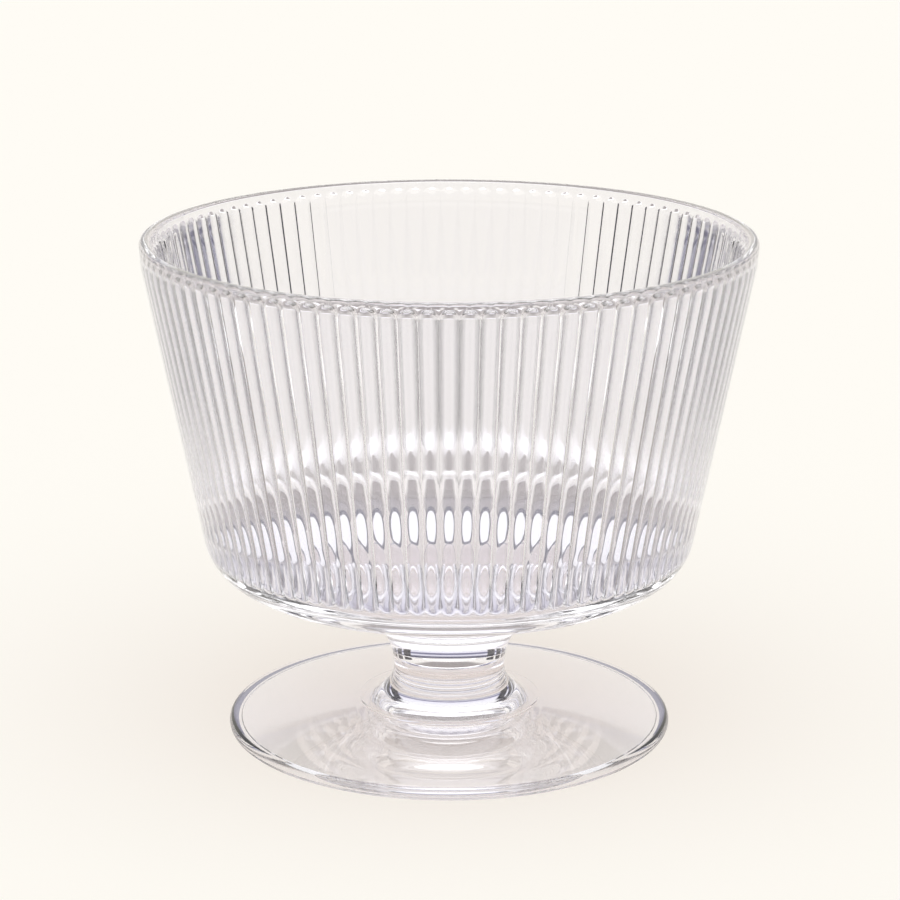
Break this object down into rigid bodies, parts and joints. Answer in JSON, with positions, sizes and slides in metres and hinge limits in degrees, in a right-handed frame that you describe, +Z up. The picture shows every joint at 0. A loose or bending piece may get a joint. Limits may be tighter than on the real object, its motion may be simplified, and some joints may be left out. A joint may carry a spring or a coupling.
{
  "type": "footed glass serving bowl",
  "caption": "Clear footed serving bowl: a deep conical cup, ribbed inside, on a short waisted stem and a wide thin foot.",
  "frame": {"origin": "centre of the foot's resting plane", "axes": "+Z up along the axis of the bowl, +X and +Y level; the bowl is the same all round"},
  "size_m": [0.18, 0.18, 0.15],
  "materials": {
    "bowl_glass": "clear pressed glass, fire polished",
    "stem_glass": "clear pressed glass, fire polished",
    "foot_glass": "clear pressed glass, fire polished"
  },
  "bodies": {
    "root": {"bowl": "bowl_glass", "stem": "stem_glass", "foot": "foot_glass"}
  },
  "joints": []
}
